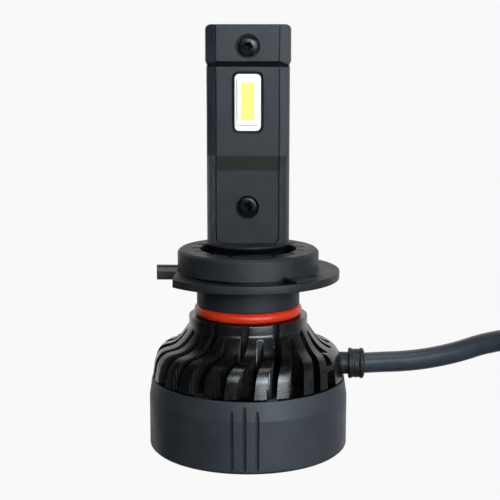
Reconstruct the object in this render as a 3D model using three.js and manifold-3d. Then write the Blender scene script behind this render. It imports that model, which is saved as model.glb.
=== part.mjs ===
// LED headlight bulb: a finned heat sink with a fan in its base, a flat stem that carries an
// LED on each face, a turning lock collar that seats in the lamp, and a lead with a plug.
// Millimetres, +Z up the bulb's axis, front face towards -Y, lead towards +X.
// The origin is on the axis, on the face of the fan grille's hub that the bulb stands on.
import * as THREE from 'three';
import { mergeVertices } from 'three/addons/utils/BufferGeometryUtils.js';
import Module from 'manifold-3d';

const wasm = await Module();
wasm.setup();

// ---------------------------------------------------------------- driving dimensions
const FLANGE_FACE_Z = 26.83;        // the face that seats against the lamp
const LIGHT_CENTRE = 25.0;          // from that face to the middle of the LED
const LED_Z = FLANGE_FACE_Z + LIGHT_CENTRE;
const STEM_TOP_Z = 62.7;
const STEM_R = 6.07;                // barrel of the stem
const STEM_LOW_HALF = 3.1;          // half thickness of the stem's lower part
const STEM_HIGH_HALF = 2.0;         // and of its upper part, where the LEDs are
const SLOPE_Z = [41.85, 43.9];      // where the thickness changes
const STEM_FOOT_Z = 31.1;
const STEM_FOOT_R = 6.25;
const GROOVE_Z = [56.66, 57.51];    // groove across the stem below its top block
const GROOVE_DEPTH = 0.45;
const COVER_HALF = 4.5;
const COVER_WALL = 0.9;
const COVER_Z = [31.3, STEM_TOP_Z];
const FRAME_WINDOW_HALF = 4.6;
const SCREW_Z = { upper: 59.56, lower: 36.52 };
const WINDOW_HALF = 2.28;           // window over the LED
const WINDOW_LENGTH = 8.99;
const WINDOW_CORNER = 1.0;
const CORE_HALF = { x: 3.4, y: 0.5 };
const CORE_Z = [17.8, 61.6];
const BOARD_Y = [0.6, 0.95];        // LED board, distances from the mid plane
const PACKAGE_Y = [1.0, 1.3];
const PHOSPHOR_Y = [1.33, 1.5];
const NECK_R = 7.68;
const NECK_Z = [20.2, 25.4];
const COLLAR_STEP_Z = 27.1;         // top of the land that the collar turns on
const COLLAR_LAND_R = 6.9;
const FLANGE_R = 13.6;
const FLANGE_Z = [25.65, FLANGE_FACE_Z];
const COLLAR_R = 10.5;
const COLLAR_TOP_Z = 30.0;
const COLLAR_BORE_R = 7.15;
const COLLAR_SLOTS = 15;
const SINK_TOP_Z = 20.05;
const SINK_RIM_R = 8.87;
const FIN_BOTTOM_Z = 10.85;
const FIN_PAIRS = 12;
const CAVITY_R = 6.8;               // hollow under the heat sink for the driver's parts
const CAVITY_Z = [9.0, 17.5];
const HOUSING_TOP_Z = 10.55;
const HOUSING_BORE_R = 13.3;
const SCREW_CIRCLE_R = 11.6;
const SCREW_AZIMUTHS = [16.7, 136.7, 256.7];
const GLAND_Z = 12.5;
const CORD_R = 1.55;
const COIL_R = 16.5;                // to the middle of the cord
const COIL_CENTRE = [76, -2.5];
const COIL_Z = [2.1, 5.3];          // middle of the cord in the lower and upper turn
const PLUG = { start: [93.3, -19], length: 18, width: 15, height: 8, middle: 4.1 };

// ---------------------------------------------------------------- colours
const finishes = {
  anodised: { color: 0x33373d, roughness: 0.5, metalness: 0.6 },
  glossBlack: { color: 0x0d0e0f, roughness: 0.25, metalness: 0.4 },
  mattBlack: { color: 0x1c1e20, roughness: 0.75, metalness: 0.0 },
  collarBlack: { color: 0x2a2d2f, roughness: 0.6, metalness: 0.3 },
  copper: { color: 0xb4693c, roughness: 0.35, metalness: 1.0 },
  whiteBoard: { color: 0xf4f4f2, roughness: 0.5, metalness: 0.0 },
  phosphor: { color: 0xf2f25a, roughness: 0.5, metalness: 0.0 },
  steel: { color: 0x9a9ca0, roughness: 0.35, metalness: 1.0 },
  blackScrew: { color: 0x151617, roughness: 0.3, metalness: 0.8 },
  sealRed: { color: 0xd04028, roughness: 0.35, metalness: 0.0 },
  greenBoard: { color: 0x1d5a34, roughness: 0.5, metalness: 0.0 },
  brass: { color: 0xb9953f, roughness: 0.35, metalness: 1.0 },
  magnet: { color: 0x3a3a3c, roughness: 0.5, metalness: 0.5 },
  cord: { color: 0x16171a, roughness: 0.5, metalness: 0.0 },
  redWire: { color: 0xa02020, roughness: 0.5, metalness: 0.0 },
  blackWire: { color: 0x141414, roughness: 0.5, metalness: 0.0 },
};

// ---------------------------------------------------------------- helpers
const rad = (degrees) => degrees * Math.PI / 180;
const polar = (r, azimuth) => [r * Math.sin(rad(azimuth)), -r * Math.cos(rad(azimuth))];

function toManifold(geometry) {
  const bare = geometry.index ? geometry.toNonIndexed() : geometry.clone();
  bare.deleteAttribute('normal');
  bare.deleteAttribute('uv');
  const merged = mergeVertices(bare, 1e-4);
  return new wasm.Manifold(new wasm.Mesh({
    numProp: 3,
    vertProperties: new Float32Array(merged.attributes.position.array),
    triVerts: new Uint32Array(merged.index.array),
  }));
}

function toGeometry(manifold) {
  const mesh = manifold.getMesh();
  const geometry = new THREE.BufferGeometry();
  geometry.setAttribute('position', new THREE.BufferAttribute(mesh.vertProperties, 3));
  geometry.setIndex(new THREE.BufferAttribute(mesh.triVerts, 1));
  return geometry;
}

const join = (...solids) => solids.reduce((a, b) => a.add(b));
const cut = (solid, ...tools) => tools.reduce((a, b) => a.subtract(b), solid);

// A solid of revolution about Z from a closed or axis-to-axis list of [r, z].
function lathe(profile, segments = 40) {
  const points = profile.map(([r, z]) => new THREE.Vector2(r, z));
  return toManifold(new THREE.LatheGeometry(points, segments).rotateX(Math.PI / 2));
}

function disc(r, z0, z1, segments = 32) {
  return lathe([[0, z0], [r, z0], [r, z1], [0, z1]], segments);
}

function ring(r0, r1, z0, z1, segments = 40) {
  return lathe([[r0, z0], [r1, z0], [r1, z1], [r0, z1], [r0, z0]], segments);
}

function box(x, y, z) {
  const geometry = new THREE.BoxGeometry(x[1] - x[0], y[1] - y[0], z[1] - z[0]);
  geometry.translate((x[0] + x[1]) / 2, (y[0] + y[1]) / 2, (z[0] + z[1]) / 2);
  return toManifold(geometry);
}

// A flat outline of [x, y] points raised from z0 to z1.
function prism(outline, z0, z1) {
  const shape = new THREE.Shape(outline.map(([x, y]) => new THREE.Vector2(x, y)));
  const geometry = new THREE.ExtrudeGeometry(shape, { depth: z1 - z0, bevelEnabled: false });
  return toManifold(geometry.translate(0, 0, z0));
}

// Wedge about the axis between two azimuths, wider than the part.
const wedge = (from, to, z0, z1) => prism([[0, 0], polar(18, from), polar(18, (from + to) / 2),
  polar(18, to)], z0, z1);

// An outline of [y, z] points run along X from x0 to x1.
function sidePrism(outline, x0, x1) {
  const shape = new THREE.Shape(outline.map(([y, z]) => new THREE.Vector2(y, z)));
  const geometry = new THREE.ExtrudeGeometry(shape, { depth: x1 - x0, bevelEnabled: false });
  geometry.translate(0, 0, x0);
  geometry.applyMatrix4(new THREE.Matrix4().makeBasis(
    new THREE.Vector3(0, 1, 0), new THREE.Vector3(0, 0, 1), new THREE.Vector3(1, 0, 0)));
  return toManifold(geometry);
}

// A cylinder along Y (at x, z) or along X (at y, z).
function rodY(r, x, z, y0, y1, segments = 20) {
  const geometry = new THREE.CylinderGeometry(r, r, y1 - y0, segments);
  return toManifold(geometry.translate(x, (y0 + y1) / 2, z));
}

function rodX(r, y, z, x0, x1, segments = 24) {
  const geometry = new THREE.CylinderGeometry(r, r, x1 - x0, segments).rotateZ(Math.PI / 2);
  return toManifold(geometry.translate((x0 + x1) / 2, y, z));
}

function rodZ(r, x, y, z0, z1, segments = 16) {
  const geometry = new THREE.CylinderGeometry(r, r, z1 - z0, segments).rotateX(Math.PI / 2);
  return toManifold(geometry.translate(x, y, (z0 + z1) / 2));
}

// A rounded rectangle in the XZ plane, raised along Y from y0 to y1.
function roundedPlate(half, z0, z1, corner, y0, y1) {
  const shape = new THREE.Shape();
  shape.moveTo(-half + corner, z0);
  shape.lineTo(half - corner, z0);
  shape.absarc(half - corner, z0 + corner, corner, -Math.PI / 2, 0, false);
  shape.absarc(half - corner, z1 - corner, corner, 0, Math.PI / 2, false);
  shape.absarc(-half + corner, z1 - corner, corner, Math.PI / 2, Math.PI, false);
  shape.absarc(-half + corner, z0 + corner, corner, Math.PI, Math.PI * 1.5, false);
  const geometry = new THREE.ExtrudeGeometry(
    shape, { depth: y1 - y0, bevelEnabled: false, curveSegments: 4 });
  return toManifold(geometry.rotateX(Math.PI / 2).translate(0, y1, 0));
}

// A round tube along hand-placed points or a curve.
function tube(curve, r, steps, sides = 8) {
  const section = new THREE.Shape();
  for (let i = 0; i < sides; i += 1) {
    const angle = 2 * Math.PI * i / sides;
    section[i ? 'lineTo' : 'moveTo'](r * Math.cos(angle), r * Math.sin(angle));
  }
  const geometry = new THREE.ExtrudeGeometry(section, { steps, extrudePath: curve });
  return toManifold(geometry);
}

const through = (points) => new THREE.CatmullRomCurve3(
  points.map((p) => new THREE.Vector3(...p)), false, 'centripetal');

const mirrorToRear = (solid) => solid.rotate([0, 0, 180]);

const group = new THREE.Group();
function place(name, solid, finish) {
  const mesh = new THREE.Mesh(toGeometry(solid), new THREE.MeshStandardMaterial(finishes[finish]));
  mesh.name = name;
  group.add(mesh);
}

// ---------------------------------------------------------------- stem
// Outline of the stem seen from the side, for a half thickness inset by `inset`.
function stemSide(inset, z0, z1) {
  const low = STEM_LOW_HALF - inset;
  const high = STEM_HIGH_HALF - inset;
  return [
    [-low, z0], [low, z0], [low, SLOPE_Z[0]], [high, SLOPE_Z[1]],
    [high, z1], [-high, z1], [-high, SLOPE_Z[1]], [-low, SLOPE_Z[0]],
  ];
}

const grooveCut = (side) => box([-7, 7],
  side < 0 ? [-3, -STEM_HIGH_HALF + GROOVE_DEPTH] : [STEM_HIGH_HALF - GROOVE_DEPTH, 3], GROOVE_Z);

function stemFrame() {
  const topCorner = 0.6;
  const barrel = lathe([
    [0, STEM_FOOT_Z], [STEM_R, STEM_FOOT_Z], [STEM_R, GROOVE_Z[0]], [STEM_R - 0.2, GROOVE_Z[0]],
    [STEM_R - 0.2, GROOVE_Z[1]], [STEM_R + 0.1, GROOVE_Z[1]], [STEM_R + 0.1, STEM_TOP_Z - topCorner],
    [STEM_R - 0.1, STEM_TOP_Z - 0.18], [STEM_R - topCorner, STEM_TOP_Z], [0, STEM_TOP_Z],
  ]);
  const slab = sidePrism(stemSide(0, STEM_FOOT_Z, STEM_TOP_Z), -8, 8);
  const foot = join(disc(STEM_FOOT_R, STEM_FOOT_Z - 0.7, STEM_FOOT_Z, 40),
    disc(5.7, COLLAR_STEP_Z + 0.2, STEM_FOOT_Z - 0.6, 40));
  const spigot = disc(4.8, 22, COLLAR_STEP_Z + 0.2, 40);
  const wayThrough = box([-3.6, 3.6], [-2.3, 2.3], [21, COVER_Z[0] + 1]);
  const recess = (half, y) => box([-half, half], y, [31.25, STEM_TOP_Z + 1]);
  const ledge = FRAME_WINDOW_HALF - 0.5;   // narrower between the covers, so the seams are shut
  const bridge = box([-FRAME_WINDOW_HALF - 0.2, FRAME_WINDOW_HALF + 0.2], [-1.05, 1.05],
    [CORE_Z[1] + 0.25, STEM_TOP_Z]);
  return join(cut(join(barrel.intersect(slab), foot, spigot), wayThrough, recess(ledge, [-2, 2]),
    recess(FRAME_WINDOW_HALF, [-8, -0.85]), recess(FRAME_WINDOW_HALF, [0.85, 8]),
    grooveCut(-1), grooveCut(1)), bridge);
}

// A cover plate for the -Y face, with its LED window and two bosses that meet the core.
function coverBlank() {
  const outer = sidePrism(stemSide(0, COVER_Z[0], COVER_Z[1]), -COVER_HALF, COVER_HALF);
  const inner = sidePrism(stemSide(COVER_WALL, COVER_Z[0] - 1, COVER_Z[1] + 1), -8, 8);
  const rearHalf = box([-8, 8], [-0.9, 8], [30, 64]);
  const face = roundedPlate(COVER_HALF, COVER_Z[0], COVER_Z[1] + 2, 0.9, -4, 0);
  const bosses = [rodY(2.1, 0, SCREW_Z.upper, -1.5, -0.6), rodY(2.1, 0, SCREW_Z.lower, -2.6, -0.6)];
  const windowZ = [LED_Z - WINDOW_LENGTH / 2 - 0.2, LED_Z + WINDOW_LENGTH / 2 - 0.2];
  const window = roundedPlate(WINDOW_HALF - 0.2, windowZ[0] + 0.2, windowZ[1] - 0.2,
    WINDOW_CORNER, -4, 0);
  const bevel = roundedPlate(WINDOW_HALF, windowZ[0], windowZ[1], WINDOW_CORNER, -4,
    -STEM_HIGH_HALF + 0.3);
  const shell = cut(outer, inner, rearHalf).intersect(face);
  return cut(join(shell, ...bosses), window, bevel, grooveCut(-1));
}

const counterbore = { upper: { r: 1.7, floor: -1.2 }, lower: { r: 1.62, floor: -1.8 } };

function frontCover() {
  const tools = Object.entries(SCREW_Z).flatMap(([key, z]) => [
    rodY(counterbore[key].r, 0, z, -4, counterbore[key].floor, 24),
    rodY(0.85, 0, z, -4, 0, 16),
  ]);
  return cut(coverBlank(), ...tools);
}

// The rear cover's bosses hold the screws' threaded ends, so its face is left whole.
function rearCover() {
  const holes = Object.values(SCREW_Z).map((z) => rodY(0.8, 0, z, -1.5, 0, 16));
  return mirrorToRear(cut(coverBlank(), ...holes));
}

function copperCore() {
  const plate = box([-CORE_HALF.x, CORE_HALF.x], [-CORE_HALF.y, CORE_HALF.y], CORE_Z);
  return cut(plate, ...Object.values(SCREW_Z).map((z) => rodY(0.95, 0, z, -2, 2, 16)));
}

// A cover screw with a six-lobed socket in a domed head.
function coverScrew(key) {
  const z = SCREW_Z[key];
  const headFloor = counterbore[key].floor - 0.03;
  const headTop = headFloor - 0.7;
  const head = lathe([[0, 0], [1.32, 0], [1.32, 0.4], [1.1, 0.62], [0.8, 0.7], [0, 0.7]], 24)
    .rotate([90, 0, 0]).translate([0, headFloor, z]);
  const shank = rodY(0.7, 0, z, headFloor, 1.4, 16);
  const socket = Array.from({ length: 6 }, (_, i) => rodY(0.2, 0.42 * Math.cos(rad(60 * i)),
    z + 0.42 * Math.sin(rad(60 * i)), headTop - 1, headTop + 0.4, 8));
  return cut(join(head, shank), rodY(0.45, 0, z, headTop - 1, headTop + 0.4, 12), ...socket);
}

const ledBoard = () => box([-3.4, 3.4], [-BOARD_Y[1], -BOARD_Y[0]], [40, 57.2]);
const ledPackage = () => box([-1.5, 1.5], [-PACKAGE_Y[1], -PACKAGE_Y[0]], [LED_Z - 3.5, LED_Z + 3.2]);
const phosphor = () => box([-1.07, 1.07], [-PHOSPHOR_Y[1], -PHOSPHOR_Y[0]],
  [LED_Z - 2.8, LED_Z + 2.75]);

function ledWire(x) {
  return tube(through([[x, -1.5, 9.2], [x, -1.5, 20], [x, -1.5, 32], [x, -1.42, 41.4]]), 0.4, 8, 6);
}

// ---------------------------------------------------------------- neck and collar
function neckBarrel() {
  return lathe([
    [3.95, 17.7], [4.95, 17.7], [4.95, NECK_Z[0]], [6.55, NECK_Z[0]], [6.55, NECK_Z[0] + 1.5],
    [NECK_R, NECK_Z[0] + 1.5], [NECK_R, NECK_Z[1]], [COLLAR_LAND_R, NECK_Z[1]],
    [COLLAR_LAND_R, COLLAR_STEP_Z], [5.05, COLLAR_STEP_Z], [5.05, 21.7], [3.95, 21.7],
    [3.95, 17.7],
  ]);
}

// Round-section seal in the groove at the foot of the neck.
function sealRing() {
  const centre = [7.32, NECK_Z[0] + 0.76];
  const sides = 8;
  const profile = Array.from({ length: sides + 1 }, (_, i) => {
    const angle = 2 * Math.PI * (i % sides) / sides;
    return [centre[0] + 0.7 * Math.cos(angle), centre[1] + 0.7 * Math.sin(angle)];
  });
  return lathe(profile);
}

// The seat's face is relieved at the front: a thin line under the ring that widens to the lug.
function seatChannel() {
  const reach = (azimuth) => COLLAR_R + 0.35 + 2.1 * Math.min(1, Math.max(0, (azimuth + 50) / 62));
  const azimuths = Array.from({ length: 15 }, (_, i) => -62 + 93 * i / 14);
  const outline = [...azimuths.map((a) => polar(reach(a), a)),
    ...azimuths.toReversed().map((a) => polar(COLLAR_R - 0.35, a))];
  return prism(outline, FLANGE_Z[1] - 0.4, FLANGE_Z[1] + 0.02);
}

function lockCollar() {
  const leadIn = 0.65;               // chamfer under the bore, so the flange clears the neck
  const body = lathe([
    [COLLAR_BORE_R, FLANGE_Z[0] + leadIn], [COLLAR_BORE_R + leadIn, FLANGE_Z[0]],
    [FLANGE_R, FLANGE_Z[0]], [FLANGE_R, FLANGE_Z[1]], [COLLAR_R, FLANGE_Z[1]],
    [COLLAR_R, COLLAR_TOP_Z - 0.4], [COLLAR_R - 0.4, COLLAR_TOP_Z],
    [COLLAR_BORE_R, COLLAR_TOP_Z], [COLLAR_BORE_R, FLANGE_Z[0] + leadIn],
  ], 60);
  const chordX = -10.5;
  const chord = box([-20, chordX], [-20, 20], [20, FLANGE_Z[1] + 1]);
  const key = cut(prism([[-13.42, -2.45], [-9, -2.45], [-9, 2.35], [-13.95, 2.35]],
    FLANGE_Z[0], FLANGE_Z[1] + 0.14), box([-15, -10.4], [-3, 0.9], [FLANGE_Z[1], 28]),
    box([-15, -10.4], [0.8, 1.3], [FLANGE_Z[1] - 0.2, 28]));
  const slots = Array.from({ length: COLLAR_SLOTS }, (_, i) =>
    box([6, 8.5], [-0.4, 0.4], [COLLAR_TOP_Z - 1.1, COLLAR_TOP_Z + 1])
      .rotate([0, 0, 180 + i * 360 / COLLAR_SLOTS]));
  const lug = lathe([[9.4, FLANGE_Z[1] - 0.3], [12.9, FLANGE_Z[1] - 0.3],
    [12.9, FLANGE_Z[1] + 0.35], [9.4, FLANGE_Z[1] + 0.35], [9.4, FLANGE_Z[1] - 0.3]], 60);
  const notch = ring(10.05, 12, FLANGE_Z[1], FLANGE_Z[1] + 0.45).intersect(wedge(22, 31, 20, 40));
  return cut(join(cut(body, chord), key, lug.intersect(wedge(32, 44, 20, 40))), notch,
    seatChannel(), ...slots);
}

// Sprung ring inside the collar that rests on the neck's land and snaps over it.
function snapRing() {
  const split = box([-0.6, 0.6], [4, 9], [20, 40]);
  return cut(ring(6.45, 6.98, COLLAR_STEP_Z + 0.25, COLLAR_STEP_Z + 1.05), split);
}

// ---------------------------------------------------------------- heat sink
// The gap between two fins. It sweeps back by `sweep` degrees from its inner end to the fins'
// edge; one wall is stepped and the other is smooth.
function finGap({ azimuth, sweep, inner, width, steps }) {
  const edge = 14.4;
  const outer = 15.4;
  // A point of one wall at radius r, with the sweep and the width that hold at radius `from`.
  const wall = (r, sign, from) => {
    const t = Math.min(1.1, (from - inner) / (edge - inner));
    const half = width(t) / 2 / r * 180 / Math.PI;
    return polar(r, azimuth - sweep * t ** 1.3 + sign * half);
  };
  const radii = Array.from({ length: steps + 1 }, (_, i) => inner + (outer - inner) * i / steps);
  const stepped = radii.slice(0, -1).flatMap((r, i) => [wall(r, -1, r), wall(radii[i + 1], -1, r)]);
  const smooth = radii.map((r) => wall(r, 1, r)).reverse();
  return prism([...stepped, ...smooth].reverse(), FIN_BOTTOM_Z - 1, SINK_TOP_Z + 1);
}

const cutsRim = (azimuth) => Math.min(azimuth % 180, 180 - azimuth % 180) <= 30;

function heatSink() {
  const finned = lathe([
    [0, FIN_BOTTOM_Z], [14.4, FIN_BOTTOM_Z], [14.15, 12.6], [14.0, 13.4], [13.5, 14.5],
    [12.8, 15.2], [11.2, 15.75], [10.2, 16.7], [SINK_RIM_R, 18.6], [SINK_RIM_R, SINK_TOP_Z],
    [0, SINK_TOP_Z],
  ], 48);
  const gaps = Array.from({ length: FIN_PAIRS }, (_, i) => i * 360 / FIN_PAIRS).flatMap((azimuth) => [
    finGap({ azimuth, sweep: 15, inner: cutsRim(azimuth) ? 8.1 : 8.95, steps: 5,
      width: (t) => 1.13 + 0.47 * t }),
    finGap({ azimuth: azimuth + 12.6, sweep: 12.6, inner: 9.25, steps: 4,
      width: (t) => 0.85 + 1.85 * t }),
  ]);
  const skirt = disc(8.4, CAVITY_Z[0], FIN_BOTTOM_Z + 0.5, 40);
  // Round the lead's inlet the gaps are filled up to the shoulder, with a web to the next fin.
  const port = finned.intersect(join(wedge(65, 119, FIN_BOTTOM_Z, 15.2), wedge(50, 66, 13.1, 13.9)));
  const boss = rodX(2.3, 0, GLAND_Z, 7.5, 13.75)
    .intersect(box([0, 20], [-5, 5], [FIN_BOTTOM_Z, SINK_TOP_Z]));
  const cavity = disc(CAVITY_R, CAVITY_Z[0] - 1, CAVITY_Z[1], 32);
  const bore = disc(5.15, CAVITY_Z[1] - 1, SINK_TOP_Z + 1, 32);
  const glandHole = rodX(1.9, 0, GLAND_Z, 5, 20);
  const screwHoles = SCREW_AZIMUTHS.map((a) =>
    rodZ(0.5, ...polar(SCREW_CIRCLE_R, a), FIN_BOTTOM_Z - 1, 13.3, 12));
  return cut(join(cut(finned, ...gaps), skirt, port, boss),
    cavity, bore, glandHole, ...screwHoles);
}

// ---------------------------------------------------------------- base and fan
// Azimuth and top of each upright V groove in a group; there are three groups round the shroud.
const SHROUD_GROOVES = [[-7, 9.3], [0, 9.98], [7, 9.3]];

function fanHousing() {
  const shell = lathe([
    [12.9, 0], [14.55, 0], [14.85, 0.25], [14.9, 0.8], [14.9, 7.8], [14.49, HOUSING_TOP_Z],
    [HOUSING_BORE_R, HOUSING_TOP_Z], [HOUSING_BORE_R, 1.3], [12.9, 1.3], [12.9, 0],
  ], 60);
  const bosses = SCREW_AZIMUTHS.map((a) => join(
    rodZ(1.25, ...polar(SCREW_CIRCLE_R, a), 1.4, HOUSING_TOP_Z),
    box([-0.8, 0.8], [-13.6, -SCREW_CIRCLE_R], [1.4, HOUSING_TOP_Z]).rotate([0, 0, a])));
  const holes = SCREW_AZIMUTHS.map((a) => rodZ(0.52, ...polar(SCREW_CIRCLE_R, a), 1, 12, 12));
  const section = [[-0.25, -15.4], [0.25, -15.4], [0, -14.35]];
  const grooves = [0, 120, 240].flatMap((group) => SHROUD_GROOVES.map(([azimuth, top]) =>
    prism(section, 0.9, top).rotate([0, 0, group + azimuth])));
  return cut(join(shell, ...bosses), ...holes, ...grooves);
}

function arcSlot(r0, r1, from, to) {
  const shape = new THREE.Shape();
  shape.absarc(0, 0, r1, rad(from), rad(to), false);
  shape.absarc(0, 0, r0, rad(to), rad(from), true);
  const geometry = new THREE.ExtrudeGeometry(
    shape, { depth: 3, bevelEnabled: false, curveSegments: 3 });
  return toManifold(geometry.translate(0, 0, -1));
}

function fanGrille() {
  const plate = disc(12.6, 0, 1.1, 36);
  const slots = Array.from({ length: 6 }, (_, i) => 60 * i).flatMap((a) => [
    arcSlot(4.4, 6.7, a + 8, a + 52), arcSlot(7.6, 9.9, a + 5, a + 55)]);
  const screws = SCREW_AZIMUTHS.flatMap((a) => {
    const [x, y] = polar(SCREW_CIRCLE_R, a);
    return [rodZ(0.52, x, y, -1, 2, 12), rodZ(1.05, x, y, -1, 0.6, 16)];
  });
  const post = ring(1.6, 2.0, 1.0, 1.5, 24);
  return cut(join(plate, post), ...slots, ...screws);
}

function housingScrew(azimuth) {
  const [x, y] = polar(SCREW_CIRCLE_R, azimuth);
  const head = rodZ(0.95, x, y, 0.08, 0.55, 16);
  const shank = rodZ(0.4, x, y, 0.5, 13.0, 10);
  const slot = [0, 90].map((turn) => box([-0.65, 0.65], [-0.12, 0.12], [-1, 0.33])
    .rotate([0, 0, turn]).translate([x, y, 0]));
  return cut(join(head, shank), ...slot);
}

function fanRotor() {
  const cup = lathe([[0.76, 5.3], [4.1, 5.3], [4.1, 1.7], [4.7, 1.7], [4.7, 5.9], [0.76, 5.9],
    [0.76, 5.3]], 36);
  const blades = Array.from({ length: 9 }, (_, i) => {
    const blade = new THREE.BoxGeometry(6.0, 0.5, 5.2);
    blade.rotateX(rad(38)).translate(7.3, 0, 3.7).rotateZ(rad(40 * i));
    return toManifold(blade);
  });
  const sweep = lathe([[4.4, 1.8], [9.9, 1.8], [9.9, 5.6], [4.4, 5.6], [4.4, 1.8]], 36);
  return join(cup, ...blades.map((blade) => blade.intersect(sweep)));
}

function fanStator() {
  const yoke = ring(1.68, 2.1, 2.0, 4.6, 24);
  const arms = [0, 90, 180, 270].map((a) => join(
    box([1.9, 2.9], [-0.5, 0.5], [2.9, 3.7]), box([2.75, 3.15], [-1.3, 1.3], [2.3, 4.3]))
    .rotate([0, 0, a + 45]));
  return join(yoke, ...arms);
}

// ---------------------------------------------------------------- driver electronics
function driverBoard() {
  const notch = box([-12, -8], [-1.2, 1.2], [6, 10]);
  return cut(disc(9.3, 7.7, 8.5, 40), notch);
}

const driverInductor = () => ring(1.1, 2.4, 8.55, 11.0, 24).translate([0, -4.25, 0]);
const driverCapacitor = () => rodZ(1.9, 0, 4.6, 8.55, 14.2, 24);
const driverChip = () => box([-6.0, -3.6], [-1.3, 1.3], [8.55, 9.5]);
const driverDiode = () => box([3.4, 5.0], [2.4, 4.0], [8.55, 9.6]);

function supplyWire(y) {
  return tube(through([[8.3, y, GLAND_Z], [6.6, y, GLAND_Z], [5.6, y, 11.6], [5.3, y, 10.2],
    [5.3, y, 8.8]]), 0.4, 10, 6);
}

// ---------------------------------------------------------------- lead
function strainRelief() {
  const body = join(rodX(1.675, 0, GLAND_Z, 8.9, 15.3), rodX(2.275, 0, GLAND_Z, 15.1, 17.45));
  return cut(body, rodX(1.72, 0, GLAND_Z, 16.7, 19));
}

// Middle of the lead from the gland to where it joins the coil.
const LEAD_ROUTE = [
  [17.0, 0, 12.5], [19.9, -0.35, 12.78], [22.8, -0.85, 13.06], [25.7, -1.3, 13.5],
  [28.7, -1.8, 14.2], [31.6, -2.4, 15.15], [34.6, -3.3, 16.4], [37.8, -4.9, 17.5],
  [41.2, -7.1, 18.1], [44.6, -9.9, 18.0], [47.8, -12.7, 17.2], [51.0, -15.2, 15.8],
  [54.4, -17.3, 14.0], [57.8, -18.5, 12.0], [61.2, -18.95, 10.1], [64.8, -19.0, 8.3],
];

// Middle of the lead from the coil to the back of the plug.
const TAIL_ROUTE = [
  [87.3, -19, 3.15], [89.4, -19, 3.6], [91.6, -19, 4.0], [93.7, -19, 4.1],
];

const leadCable = () => tube(through(LEAD_ROUTE), CORD_R, 22);
const leadTail = () => tube(through(TAIL_ROUTE), CORD_R, 3);

function leadCoil() {
  const half = CORD_R + 0.03;
  return ring(COIL_R - half, COIL_R + half, COIL_Z[0] - CORD_R, COIL_Z[1] + CORD_R, 40)
    .translate([...COIL_CENTRE, 0]);
}

// Band around the coil's section at its frontmost point, with its head inside the coil.
function cableTie() {
  const inner = box([-2, 2], [-CORD_R - 0.15, CORD_R + 0.15], [COIL_Z[0] - 1.62, COIL_Z[1] + 1.65]);
  const outer = box([-1.3, 1.3], [-CORD_R - 0.65, CORD_R + 0.65], [0, COIL_Z[1] + 2.1]);
  const head = box([-1.7, 1.7], [CORD_R + 0.4, CORD_R + 2.2], [2.2, 4.8]);
  return cut(join(outer, head), inner).translate([0, -COIL_R, 0]).translate([...COIL_CENTRE, 0]);
}

// Turns a piece of the plug, made with its inlet at the origin and its length along +Y, onto
// the end of the lead.
const ontoLead = (solid) => solid.rotate([0, 0, -90]).translate([...PLUG.start, PLUG.middle]);

function plugHousing() {
  const half = PLUG.width / 2;
  const floor = -PLUG.middle;
  const top = floor + PLUG.height;
  const body = join(box([-half, half], [5, PLUG.length], [floor, top]),
    box([-half + 2.2, half - 2.2], [1.5, 5.2], [floor + 1, top - 1]));
  const boot = toManifold(new THREE.CylinderGeometry(3.0, 2.4, 3.6, 20).translate(0, 1.9, 0));
  const inlet = rodY(CORD_R + 0.3, 0, 0, -0.2, 2.8, 16);
  const slots = [-1, 1].map((side) => box([side * 3.6 - 2.7, side * 3.6 + 2.7],
    [PLUG.length - 4, PLUG.length + 1], [-0.7, 0.7]));
  return ontoLead(cut(join(body, boot), inlet, ...slots));
}

function plugBlade(side) {
  const middle = side * 3.6;
  const root = PLUG.length - 3.7;
  const tip = PLUG.length + 7.8;
  const outline = [[middle - 2.4, root], [middle + 2.4, root], [middle + 2.4, tip - 1.2],
    [middle + 1.5, tip], [middle - 1.5, tip], [middle - 2.4, tip - 1.2]];
  const hole = rodZ(0.6, middle, tip - 3.2, -2, 2, 12);
  return ontoLead(cut(prism(outline, -0.4, 0.4), hole));
}

// ---------------------------------------------------------------- assembly
place('stem_frame', stemFrame(), 'anodised');
place('front_cover', frontCover(), 'anodised');
place('rear_cover', rearCover(), 'anodised');
place('copper_core', copperCore(), 'copper');
place('upper_cover_screw', coverScrew('upper'), 'blackScrew');
place('lower_cover_screw', coverScrew('lower'), 'blackScrew');
for (const [face, turn] of [['front', (s) => s], ['rear', mirrorToRear]]) {
  place(`${face}_led_board`, turn(ledBoard()), 'whiteBoard');
  place(`${face}_led_package`, turn(ledPackage()), 'whiteBoard');
  place(`${face}_phosphor`, turn(phosphor()), 'phosphor');
  place(`${face}_led_wire_positive`, turn(ledWire(2.75)), 'redWire');
  place(`${face}_led_wire_negative`, turn(ledWire(-2.75)), 'blackWire');
}
place('neck_barrel', neckBarrel(), 'mattBlack');
place('seal_ring', sealRing(), 'sealRed');
place('lock_collar', lockCollar(), 'collarBlack');
place('collar_snap_ring', snapRing(), 'steel');
place('heat_sink', heatSink(), 'glossBlack');
place('fan_housing', fanHousing(), 'mattBlack');
place('fan_grille', fanGrille(), 'mattBlack');
SCREW_AZIMUTHS.forEach((azimuth, i) => place(`housing_screw_${i + 1}`, housingScrew(azimuth),
  'blackScrew'));
place('fan_rotor', fanRotor(), 'mattBlack');
place('rotor_magnet', ring(3.45, 4.05, 1.8, 5.0, 32), 'magnet');
place('fan_shaft', disc(0.7, 1.25, 5.85, 24), 'steel');
place('fan_bearing', ring(0.77, 1.55, 1.2, 5.0, 24), 'brass');
place('fan_stator', fanStator(), 'steel');
place('fan_board', ring(2.1, 3.3, 1.2, 1.6, 32), 'greenBoard');
place('driver_board', driverBoard(), 'greenBoard');
place('driver_inductor', driverInductor(), 'magnet');
place('driver_capacitor', driverCapacitor(), 'glossBlack');
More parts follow.
